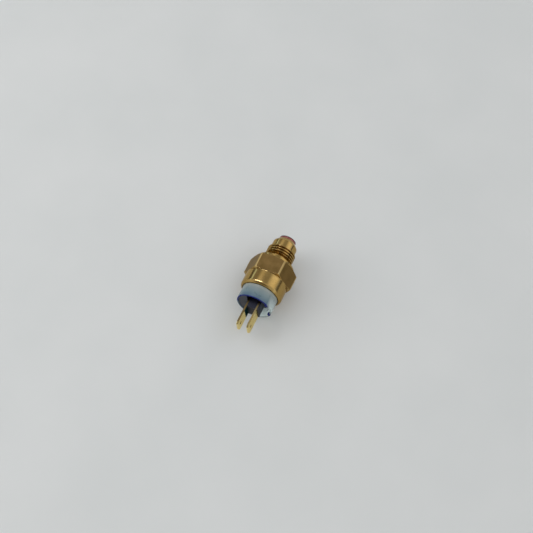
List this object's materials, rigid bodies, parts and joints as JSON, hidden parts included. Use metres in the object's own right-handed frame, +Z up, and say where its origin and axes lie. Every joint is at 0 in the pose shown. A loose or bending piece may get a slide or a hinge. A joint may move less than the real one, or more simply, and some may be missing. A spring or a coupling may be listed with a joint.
{
  "type": "pressure switch",
  "caption": "Threaded brass pressure switch with a hex body, crimped collar and blade connector; a snap disc drives a contact arm.",
  "frame": {"origin": "on the switch's axis, in the plane of the seat face under the port thread", "axes": "+Y along the axis out of the port, -Y towards the connector, +Z up from the hex flat that it lies on"},
  "size_m": [0.022, 0.0478, 0.019],
  "materials": {
    "brass_body": "turned and lightly tarnished",
    "copper_seal": "soft copper, dull",
    "black_rubber": "matte",
    "amber_film": "smooth film",
    "steel": "zinc plated",
    "spring_steel": "polished",
    "dark_plastic": "moulded, glass filled",
    "ceramic": "white ceramic",
    "blue_sleeve": "milky translucent",
    "brass_blade": "stamped, bright",
    "sealant": "cured compound",
    "spring_bronze": "rolled strip",
    "silver": "silver contact"
  },
  "bodies": {
    "switch_body": {"hex_body": "brass_body", "cone_seal": "copper_seal", "diaphragm_o_ring": "black_rubber", "diaphragm": "amber_film", "disc_support_ring": "steel", "snap_disc": "spring_steel", "pin_guide": "dark_plastic", "terminal_block": "dark_plastic", "block_o_ring": "black_rubber", "connector_sleeve": "blue_sleeve", "left_terminal": "brass_blade", "right_terminal": "brass_blade", "terminal_sealant": "sealant", "arm_rivets": "brass_blade", "arm_clamp": "spring_bronze", "fixed_contact": "silver"},
    "piston": {"piston": "steel"},
    "transfer_pin": {"transfer_pin": "ceramic"},
    "contact_arm": {"contact_arm": "spring_bronze", "moving_contact": "silver"}
  },
  "joints": [
    {"name": "piston_slide", "type": "slide", "parent": "switch_body", "child": "piston", "axis": [0, -1, 0], "range_m": [0, 0.00035], "deforming": ["snap_disc", "diaphragm"]},
    {"name": "transfer_pin_slide", "type": "slide", "parent": "switch_body", "child": "transfer_pin", "axis": [0, -1, 0], "range_m": [0, 0.00035]},
    {"name": "contact_arm_swing", "type": "hinge", "parent": "switch_body", "child": "contact_arm", "pos_m": [-0.00329, -0.01165, -0.00029], "axis": [0.0872, 0, -0.9962], "range_deg": [0, 6.4]}
  ],
  "couplings": [
    {"joint": "transfer_pin_slide", "follows": "piston_slide", "ratio": 1},
    {"joint": "contact_arm_swing", "follows": "piston_slide", "rad_per_m": 315.8}
  ]
}
